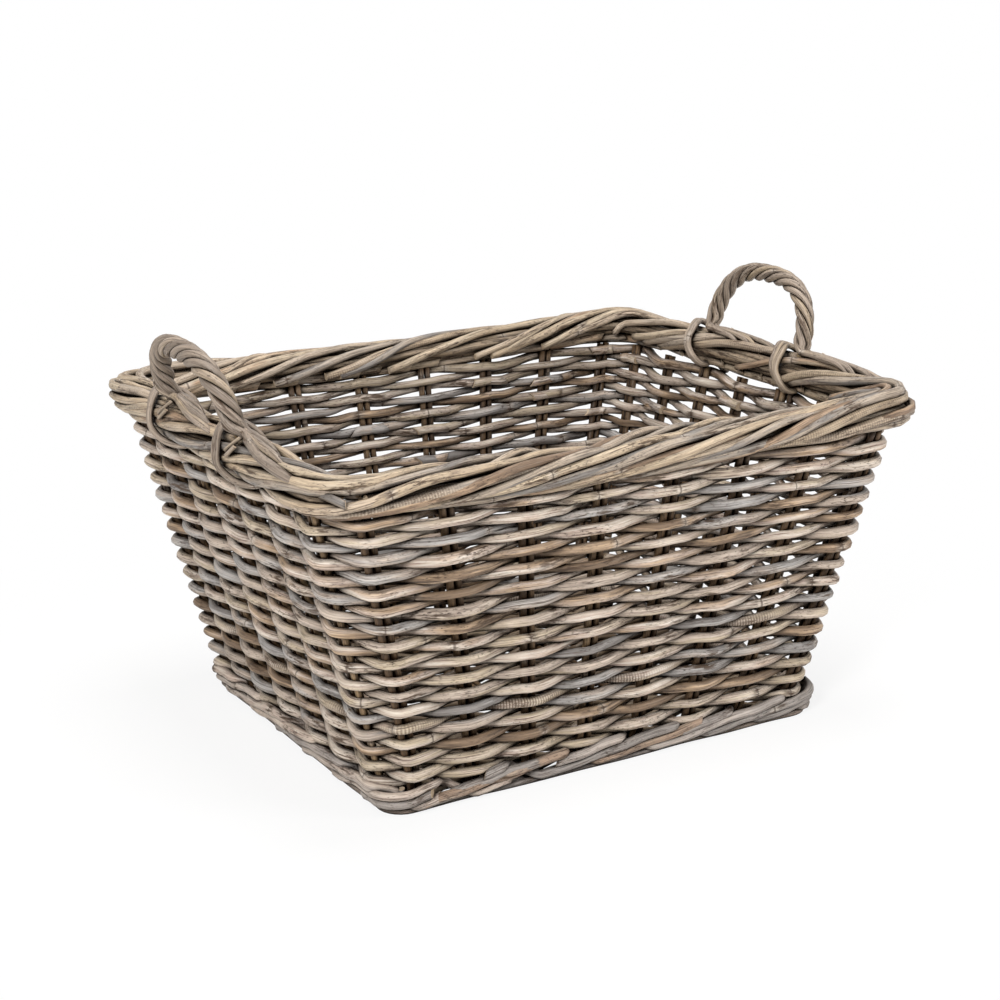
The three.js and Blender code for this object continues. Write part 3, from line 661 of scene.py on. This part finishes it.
# it is drawn a little thinner, so that it clears the floor
GROUND_ROD_SHARE = 0.99
GROUND_STEPS = 75
GROUND_TONE_RANGE, STUB_TONE_RANGE = 0.7, 0.3
STUB_DIAMETER = 6.4
# the corner stubs: pairs past the corner's last pair, and (pairs further, level, mm out) down to the ground
STUBS_BESIDE = (-0.05, 0.62)
STUB = ((0.0, 19.0, 3.5), (0.0, 10.0, 4.5), (0.05, STUB_DIAMETER / 3, 6.0))

# canes soaked and scuffed on the ground: greyer than the weave, with more of the bark broken off
FOOT_TONES = ((0.0, "#98928d"), (0.25, "#b0a7a0"), (0.5, "#c3b6a9"), (0.8, "#ccbfb0"), (1.0, "#a18b78"))
FOOT_BARK = rattan_bark("rattan_bark_grey", FOOT_TONES, blotches=0.6)


def wale_spot(pairs, strand, phase):
    """Where a wale strand is: it climbs outside, then dives in behind the stakes and down to start again."""
    cycle = (pairs / WALE_PAIRS + strand / WALE_STRANDS) % 1
    climb, out = cycle / WALE_OUTSIDE_SHARE, WALE_OUT
    if cycle >= WALE_OUTSIDE_SHARE:
        back_down = (cycle - WALE_OUTSIDE_SHARE) / (1 - WALE_OUTSIDE_SHARE)
        climb = 0.5 + 0.5 * math.cos(math.pi * back_down)
        out += (WALE_IN - WALE_OUT) * math.sin(math.pi * back_down) ** 2
    level = WALE_LOW + WALE_RISE * climb
    level += WALE_LEVEL_WANDER * noise.noise(Vector((pairs * WALE_LEVEL_WAVES, phase, 3)))
    out += WALE_OUT_WANDER * noise.noise(Vector((pairs * WALE_OUT_WAVES, phase, 0)))
    return wall_spot(pairs, level, out, FOOT_CORNER_RADIUS, FOOT_CUTS)


foot = Bundle("foot_wale_strands", FOOT_BARK, CUT_END, seed=71)
for strand in range(WALE_STRANDS):
    laid = strand * WALE_LAG_PAIRS
    stop = laid + ALL_PAIRS
    while laid < stop:
        pairs_long = min(foot.chance.uniform(*WALE_CANE_PAIRS), stop - laid)
        if stop - laid - pairs_long < SHORTEST_WALE_PAIRS:
            pairs_long = stop - laid
        thick = WALE_ROD_DIAMETER / 2 * foot.chance.uniform(*WALE_THICKNESSES)
        phase = foot.chance.uniform(0, 900)
        steps = round((pairs_long + 2 * WALE_OVERLAP_PAIRS) * FOOT_STEPS_PER_PAIR)
        first = laid - WALE_OVERLAP_PAIRS
        points = [wale_spot(first + k / FOOT_STEPS_PER_PAIR, strand, phase) for k in range(steps + 1)]
        foot.lay(points, thick, foot.chance.random(), grime_and_shade=0.05, sides=10, slants=(0.8, -0.8))
        laid += pairs_long
foot.finish("foot_rattan", "foot_wale_rod_01", "foot_wale_rod_02")

ground = Bundle("foot_ground_rods", FOOT_BARK, CUT_END, seed=72)
for lane, out in enumerate(GROUND_LANES):
    for rod in range(GROUND_RODS_PER_LANE):
        first = rod * ALL_PAIRS / GROUND_RODS_PER_LANE + lane * 2
        points = []
        for k in range(GROUND_STEPS + 1):
            u = first + k / FOOT_STEPS_PER_PAIR - WALE_OVERLAP_PAIRS
            sway = noise.noise(Vector((u * GROUND_WAVES, lane * 40, 11)))
            level = GROUND_ROD_RADIUS + GROUND_LIFT * abs(sway)
            points.append(wall_spot(u, level, out + GROUND_WANDER * sway, FOOT_CORNER_RADIUS, FOOT_CUTS))
        ground.lay(points, GROUND_ROD_RADIUS * GROUND_ROD_SHARE,
                   tone=GROUND_TONE_RANGE * ground.chance.random(), grime_and_shade=0.3, sides=10)
for last_pair in (LONG_PAIRS - 1, HALF_LAP - 1, HALF_LAP + LONG_PAIRS - 1, ALL_PAIRS - 1):
    for beside in STUBS_BESIDE:
        stub = [wall_spot(last_pair + beside + further, level, out) for further, level, out in STUB]
        ground.lay(through(stub, step=3.0), STUB_DIAMETER / 2,
                   tone=STUB_TONE_RANGE * ground.chance.random(), grime_and_shade=0.4, sides=10, slants=(0, 0.3))
ground.finish("foot_rattan", "ground_rod")

# Rolled border: at each stake pair a long thick rod of whole rattan, often with a thinner twin, comes out low
# outside, climbs slowly over the top and ends low inside, cut on a slant. All were bent wet and lie side by
# side, and the stake tips end under them.

BORDER_STATIONS = 30
BORDER_RADIUS = 15.2
BORDER_UNDERSIDE = 0.8
BORDER_SAG = 4.0
BORDER_START, BORDER_TURN_IN, BORDER_END = math.radians(-108), math.radians(66), math.radians(204)
BORDER_CLIMB_SHARE, BORDER_EASING = 0.7, 0.5
BORDER_STEPS = 50
# (length, diameter, mm that it lies outside the others) of a station's rod and of its twin
MAIN_ROD = (495.0, 8.8, -0.4)
TWIN_ROD = (430.0, 7.4, 1.2)
TWIN_LAG = (22.0, 44.0)
TWIN_SHARE = 0.75
ROD_LENGTHS, ROD_THICKNESSES = (0.86, 1.12), (0.88, 1.1)
ROD_THICK_END, ROD_TAPER = 1.05, 0.16
# a border rod's bends, how far they turn it round the roll and how much it swells with them
ROD_BENDS, ROD_SWAY, ROD_SWELL = 5, 0.3, 0.08
# how often and how far it lifts off the roll
ROD_LIFTS, ROD_LIFT = 7, 4.2
# how far its start may be off along the rim, and the whole rod off the roll
ROD_START_WANDER, ROD_SPREAD_WANDER = 5, 0.7
# how far it is tucked in at its start and stands off at its end, each over a ninth of its length
ROD_START_TUCK, ROD_END_LIFT, ROD_END_PARTS = 2.4, 0.8, 9
# one border rod in sixteen is ribbed across
BORDER_RIBS = (0,) * 15 + (0.7,)
BORDER_CORNER_BULGE, NEAR_CORNER_BULGE = 0.3, 0.06
RIM_CORNER_RADIUS = 26.0
# rods that fill the middle of the roll all the way round: degrees round it, and mm from its middle line
FILLERS = ((-8, 7.4), (112, 6.0), (165, 8.5), (250, 4.4))
FILLER_RADIUS, FILLER_STEPS = 4.7, 120
# a filler's bends to a step, how far they turn it round the roll, and how far out they take it
FILLER_BENDS, FILLER_SWAY, FILLER_WANDER = 0.3, 0.35, 1.6
# the cut end that shows in the near corner: (mm past the corner, degrees round the roll, mm out)
NEAR_CORNER_END = ((-30, 30, 6), (-23, 24, 12), (-17, 14, 17), (-12, 3, 20))
NEAR_CORNER_END_RADIUS = 3.4

# thick canes on which hands have worn the wash thin: warmer and more golden than the weave, with broken bark
BORDER_TONES = ((0.0, "#7f7a75"), (0.1, "#a39789"), (0.3, "#b3a390"), (0.55, "#b29f86"), (0.78, "#b8a993"),
                (0.92, "#a88f76"), (1.0, "#7a6552"))
BORDER_BARK = rattan_bark("rattan_bark_border", BORDER_TONES, blotches=0.6)

RIM_LONG, RIM_SHORT = 2 * (RIM_HALF_LENGTH - RIM_CORNER_RADIUS), 2 * (RIM_HALF_WIDTH - RIM_CORNER_RADIUS)
RIM_BEND = math.pi / 2 * RIM_CORNER_RADIUS
RIM_HALF_LAP = RIM_LONG + RIM_SHORT + 2 * RIM_BEND
RIM_LAP = 2 * RIM_HALF_LAP


def rim_spot(run, angle, radius):
    """A point round the border's middle line: run mm along from the front left corner; angle 0 is outside and
    90 degrees on top."""
    facing = 1 if run % RIM_LAP < RIM_HALF_LAP else -1
    run %= RIM_HALF_LAP
    corner_x, corner_y = RIM_LONG / 2, RIM_SHORT / 2
    if run < RIM_LONG:
        centre, turned = Vector((run - corner_x, -corner_y, 0)), 0.0
    elif run < RIM_LONG + RIM_BEND:
        centre, turned = Vector((corner_x, -corner_y, 0)), (run - RIM_LONG) / RIM_CORNER_RADIUS
    elif run < RIM_LONG + RIM_BEND + RIM_SHORT:
        centre, turned = Vector((corner_x, run - RIM_LONG - RIM_BEND - corner_y, 0)), math.pi / 2
    else:
        turned = math.pi / 2 + (run - RIM_LONG - RIM_BEND - RIM_SHORT) / RIM_CORNER_RADIUS
        centre = Vector((corner_x, corner_y, 0))
    outward = Vector((math.sin(turned), -math.cos(turned), 0))
    middle = centre + RIM_CORNER_RADIUS * outward
    bulge = NEAR_CORNER_BULGE if facing < 0 and turned > math.pi / 2 else BORDER_CORNER_BULGE
    spot = middle + outward * radius * (1 + bulge * math.sin(2 * turned) ** 2) * math.cos(angle)
    sag = BORDER_SAG * max(0.0, 1 - (middle.x / corner_x) ** 2) if abs(middle.y) > corner_y else 0.0
    rise = radius * math.sin(angle) * (1 if angle > 0 else BORDER_UNDERSIDE)
    return facing * spot + Vector((0, 0, RIM_LEVEL - sag + rise))


def climbed(share):
    """The angle round the roll that a border rod has reached at a share of its length."""
    if share < BORDER_CLIMB_SHARE:
        climb = share / BORDER_CLIMB_SHARE
        climb += BORDER_EASING * (climb * climb * (3 - 2 * climb) - climb)
        return BORDER_START + (BORDER_TURN_IN - BORDER_START) * climb
    over = (share - BORDER_CLIMB_SHARE) / (1 - BORDER_CLIMB_SHARE)
    return BORDER_TURN_IN + (BORDER_END - BORDER_TURN_IN) * over


def lay_border_rod(bundle, first_mm, usual_length, diameter, proud):
    """One rod of the roll, from where it comes out on the outside, first_mm along the rim."""
    chance = bundle.chance
    start = first_mm + chance.uniform(-ROD_START_WANDER, ROD_START_WANDER)
    length = usual_length * chance.uniform(*ROD_LENGTHS)
    thick = diameter / 2 * chance.uniform(*ROD_THICKNESSES)
    spread = BORDER_RADIUS + proud + chance.uniform(-ROD_SPREAD_WANDER, ROD_SPREAD_WANDER)
    phase = chance.uniform(0, 900)
    points, radii = [], []
    for k in range(BORDER_STEPS + 1):
        share = k / BORDER_STEPS
        sway = noise.noise(Vector((share * ROD_BENDS, phase, 0)))
        part = share * ROD_END_PARTS
        tucked = ROD_START_TUCK * max(0.0, 1 - part) - ROD_END_LIFT * max(0.0, part - (ROD_END_PARTS - 1))
        lifted_off = ROD_LIFT * noise.noise(Vector((share * ROD_LIFTS, phase, 5)))
        points.append(rim_spot(start + length * share, climbed(share) + ROD_SWAY * sway,
                               spread + lifted_off - tucked))
        radii.append(thick * (ROD_THICK_END - ROD_TAPER * share) * (1 + ROD_SWELL * sway))
    ribs = chance.choice(BORDER_RIBS)
    bundle.lay(points, radii, chance.random(), ribs, grime_and_shade=0.03, sides=12,
               slants=(0.9, chance.uniform(-0.4, 0.3)))


border = Bundle("rim_border_rods", BORDER_BARK, CUT_END, seed=31)
for station in range(BORDER_STATIONS):
    rods = [(0.0, *MAIN_ROD)]
    if border.chance.random() < TWIN_SHARE:
        rods.append((border.chance.uniform(*TWIN_LAG), *TWIN_ROD))
    for lag, usual_length, diameter, proud in rods:
        lay_border_rod(border, RIM_LAP * station / BORDER_STATIONS + lag, usual_length, diameter, proud)
for degrees, inset in FILLERS:
    points = []
    for k in range(FILLER_STEPS):
        sway = noise.noise(Vector((k * FILLER_BENDS, degrees, 0)))
        points.append(rim_spot(RIM_LAP * k / FILLER_STEPS, math.radians(degrees) + FILLER_SWAY * sway,
                               inset + FILLER_WANDER * sway))
    # painted shade: the fillers in the middle of the roll are darkened more than the rods over them
    border.lay(points, FILLER_RADIUS, tone=0.6, grime_and_shade=0.45, sides=10)
near_end = [rim_spot(RIM_LAP + run, math.radians(degrees), reach) for run, degrees, reach in NEAR_CORNER_END]
border.lay(through(near_end, step=3.0), NEAR_CORNER_END_RADIUS, tone=0.1, grime_and_shade=0.3, sides=10,
           slants=(0, 0.6))
border.finish("border_rattan", "rim_border_rod_01", "rim_border_rod_02")

# Handles: at each end a peeled cane bent to an arch, with five rods roped left-handed round it. At the feet
# the rods open out along the border and the core's legs go in beside the stakes. Thin rods tied round the
# border hold both.

# each handle's end (-1 or 1), how far back its middle stands, half its span, its rise, how it leans out per
# mm, how thick its rods are, how many ties hold its front foot, and its darkest tone
HANDLES = {
    "left": (-1, 11.0, 75.0, 62.5, 0.29, 1.1, 2, 0.0),
    "right": (1, 0.0, 71.7, 68.0, 0.25, 1.0, 3, 0.3),
}
HANDLE_FOOT_LEVEL = 309.0
HANDLE_SQUARENESS = 2.6
ARCH_STEPS = 400
TONE_RANGE = 0.5
CORE_DIAMETER = 6.8
CORE_LEG_DROPS = (60, 40, 20)
CORE_STEP = 6.0
ROPE_STRANDS = 5
ROPE_TURNS = 3.1
ROPE_RADIUS = 5.7
ROPE_STRAND_DIAMETER = 6.7
ROPE_THICKNESSES = (0.93, 1.06)
ROPE_STEPS = 72
ROPE_FREE_STEPS = 4
ROPE_TIP_SHARE, ROPE_TIP_STEPS = 0.66, 12
# how a rod leaves the rope's foot: (mm towards the front, mm from the border's middle line)
FLARE = ((9, 23.0), (30, 22.8), (62, 22.0), (96, 20.0), (124, 10.5))
# where on the border it lies: at the arch, once fanned out, how far the rods fan to each side of that, and
# how far the outer ones are turned down at once
FLARE_TOP_DEGREES, FLARE_LOW_DEGREES, FLARE_SPREAD_DEGREES, FLARE_TURN_DEGREES = 88, 74, 26, 6
FANNED_BY_MM = 75
# how much of a rod's way along the border depends on its side, and how uneven its end is
FLARE_STRETCH, FLARE_WANDER = 0.28, 3
# how a tie goes round the border, from under its inside to under its outside: (degrees, mm towards the back,
# mm out)
TIE = ((262, -8, 10), (238, -10, 16), (212, -9, 20), (190, -5, 22), (168, 3, 22.4), (144, 6, 22.6),
       (120, 8, 23.6), (98, 13, 25), (72, 21, 25), (48, 15, 24.4), (20, 8, 23.6), (-10, 5, 23),
       (-40, 1, 22.4), (-60, -12, 21), (-80, -28, 18), (-102, -38, 12))
TIE_DIAMETER = 6.0
TIE_THICKNESSES = (0.86, 1.08)
# how far apart ties lie, the share of it left beside the border, how far round each starts after the last,
# and how uneven they are
TIE_PITCH, TIE_CROWDED, TIE_TURN_DEGREES, TIE_WANDER = 5.0, 0.35, 2, 0.8
BACK_TIES = 2
# the slivers' roots and tips: (mm towards the back, degrees, mm out)
SLIVERS = (((-10, 16, 22), (-27, 40, 26.5)), ((-6, 26, 22), (-24, 60, 26.5)))
SLIVER_DIAMETER = 3.8
CURVE_STEP = 3.5

# thin canes that are handled most, so the bark is rubbed even: smooth, brownish grey, with few blotches
HANDLE_TONES = ((0.0, "#82766a"), (0.4, "#9f9183"), (0.7, "#a6957d"), (1.0, "#b3a085"))
HANDLE_BARK = rattan_bark("rattan_bark_handle", HANDLE_TONES, blotches=0.3, rough=0.5)
# cane with its bark stripped off: honey coloured and nearly plain
PEELED_CANE = rattan_bark("rattan_peeled_core", ((0.0, "#b49a76"), (1.0, "#c8b08a")), blotches=0.15)


def arch_spot(side, middle_y, half_span, rise, lean, share):
    """A point on the handle's middle line; share 0 is the front foot on the border and 1 the back one."""
    angle = math.pi * (1 - share)
    power = 2 / HANDLE_SQUARENESS
    level = HANDLE_FOOT_LEVEL + rise * max(0.0, math.sin(angle)) ** power
    y = middle_y + math.copysign(abs(math.cos(angle)) ** power, math.cos(angle)) * half_span
    return Vector((side * (RIM_HALF_LENGTH + lean * (level - RIM_LEVEL)), y, level))


def even_arch(arch, count):
    """The handle's middle line as points at even distances."""
    fine = [arch_spot(*arch, k / ARCH_STEPS) for k in range(ARCH_STEPS + 1)]
    runs = [0.0]
    for a, b in zip(fine, fine[1:]):
        runs.append(runs[-1] + (b - a).length)
    points, k = [], 0
    for n in range(count + 1):
        wanted = runs[-1] * n / count
        while k < ARCH_STEPS - 1 and runs[k + 1] < wanted:
            k += 1
        t = (wanted - runs[k]) / (runs[k + 1] - runs[k])
        points.append(fine[k].lerp(fine[k + 1], t))
    return points


def by_border(side, y, degrees, reach):
    """A point beside the short side's border; 0 degrees is outside, 90 on top, 180 inside."""
    angle = math.radians(degrees)
    x = side * (RIM_HALF_LENGTH + reach * math.cos(angle))
    return Vector((x, y, RIM_LEVEL + reach * math.sin(angle)))


def make_core(side_name, side, middle, lean):
    """The peeled cane in a handle, with its legs beside the stakes."""
    core = Bundle(f"{side_name}_handle_core_cane", PEELED_CANE, CUT_END, seed=81)
    legs = []
    for foot in (middle[0], middle[-1]):
        legs.append([foot + Vector((-side * lean * drop, 0, -drop)) for drop in CORE_LEG_DROPS])
    path = through([*legs[0], *middle[::4], *reversed(legs[1])], CORE_STEP)
    # painted shade: the legs are darkened below the rim, where they go down among the stakes
    grime_and_shade = [0.9 if p.z < RIM_LEVEL else 0.0 for p in path]
    core.lay(path, CORE_DIAMETER / 2, tone=0.6, grime_and_shade=grime_and_shade, sides=10)
    core.finish("handle_core_rattan", f"{side_name}_handle_core")


def flared_foot(rope, side, foot_y, outside):
    """How a rod of the rope opens out along the border. outside is 1 on the handle's outer face, -1 on the
    inner."""
    lowest = FLARE_LOW_DEGREES - FLARE_SPREAD_DEGREES * outside
    foot = []
    for ahead, reach in FLARE:
        fanned = min(1.0, ahead / FANNED_BY_MM)
        stretched = 1 - FLARE_STRETCH + FLARE_STRETCH * outside
        y = foot_y - ahead * stretched + FLARE_WANDER * rope.chance.uniform(-1, 1)
        degrees = FLARE_TOP_DEGREES + (lowest - FLARE_TOP_DEGREES) * fanned
        degrees -= FLARE_TURN_DEGREES * outside * (1 - fanned)
        foot.append(by_border(side, y, degrees, reach))
    return foot


def make_rope(side_name, side, middle, feet_y, lean, thickness, darkest):
    """The rods roped round a handle's core, with the feet on which they open out."""
    across = Vector((1, 0, -lean * side)).normalized()
    radius = ROPE_RADIUS * thickness
    rope = Bundle(f"{side_name}_handle_rope", HANDLE_BARK, CUT_END, seed=82 + side)
    for strand in range(ROPE_STRANDS):
        winding = []
        for k in range(ROPE_FREE_STEPS, ROPE_STEPS - ROPE_FREE_STEPS + 1):
            ahead = (middle[k + 1] - middle[k - 1]).normalized()
            beside = ahead.cross(across).normalized()
            angle = -2 * math.pi * (ROPE_TURNS * k / ROPE_STEPS + strand / ROPE_STRANDS)
            winding.append(middle[k] + (across * math.cos(angle) + beside * math.sin(angle)) * radius)
        outside = (side * (winding[0].x - middle[0].x) / radius,
                   side * (winding[-1].x - middle[-1 - ROPE_FREE_STEPS].x) / radius)
        front, back = [flared_foot(rope, side, y, share) for y, share in zip(feet_y, outside)]
        path = through([*reversed(front), *winding[::3], *back], CURVE_STEP)
        thick = ROPE_STRAND_DIAMETER / 2 * thickness * rope.chance.uniform(*ROPE_THICKNESSES)
        from_tip = [min(k, len(path) - 1 - k) / ROPE_TIP_STEPS for k in range(len(path))]
        radii = [thick * min(1.0, ROPE_TIP_SHARE + (1 - ROPE_TIP_SHARE) * share) for share in from_tip]
        rope.lay(path, radii, darkest + TONE_RANGE * rope.chance.random(), grime_and_shade=0.03, sides=12)
    rope.finish("handle_rattan", f"{side_name}_handle_wrapping")


def make_tie(side_name, side, foot_name, foot_y, loops, seed, darkest):
    """The thin rods tied round the border at one foot, and two cut slivers."""
    tie = Bundle(f"{side_name}_handle_{foot_name}_tie", HANDLE_BARK, CUT_END, seed=seed)
    for loop in range(loops):
        turns = []
        for degrees, towards_back, reach in TIE:
            spaced = TIE_CROWDED + (1 - TIE_CROWDED) * abs(math.sin(math.radians(degrees)))
            y = foot_y + towards_back + TIE_PITCH * loop * spaced
            turns.append(by_border(side, y, degrees + TIE_TURN_DEGREES * loop,
                                   reach + TIE_WANDER * tie.chance.uniform(-1, 1)))
        tie.lay(through(turns, CURVE_STEP), TIE_DIAMETER / 2 * tie.chance.uniform(*TIE_THICKNESSES),
                darkest + TONE_RANGE * tie.chance.random(), sides=10)
    for ends in SLIVERS:
        root, tip = [by_border(side, foot_y + y, degrees, reach) for y, degrees, reach in ends]
        tie.lay(through([root, root.lerp(tip, 0.5), tip], step=3.0), SLIVER_DIAMETER / 2,
                tone=darkest + TONE_RANGE, sides=8, slants=(0, 1.2))
    tie.finish("handle_rattan", f"{side_name}_handle_{foot_name}_lashing")


for side_name, (side, middle_y, half_span, rise, lean, thickness, front_ties, darkest) in HANDLES.items():
    middle = even_arch((side, middle_y, half_span, rise, lean), ROPE_STEPS)
    front_y, back_y = middle_y - half_span, middle_y + half_span
    make_core(side_name, side, middle, lean)
    make_rope(side_name, side, middle, (front_y, back_y), lean, thickness, darkest)
    make_tie(side_name, side, "front", front_y, front_ties, 90 + side - 3, darkest)
    make_tie(side_name, side, "back", back_y, BACK_TIES, 90 + side + 3, darkest)
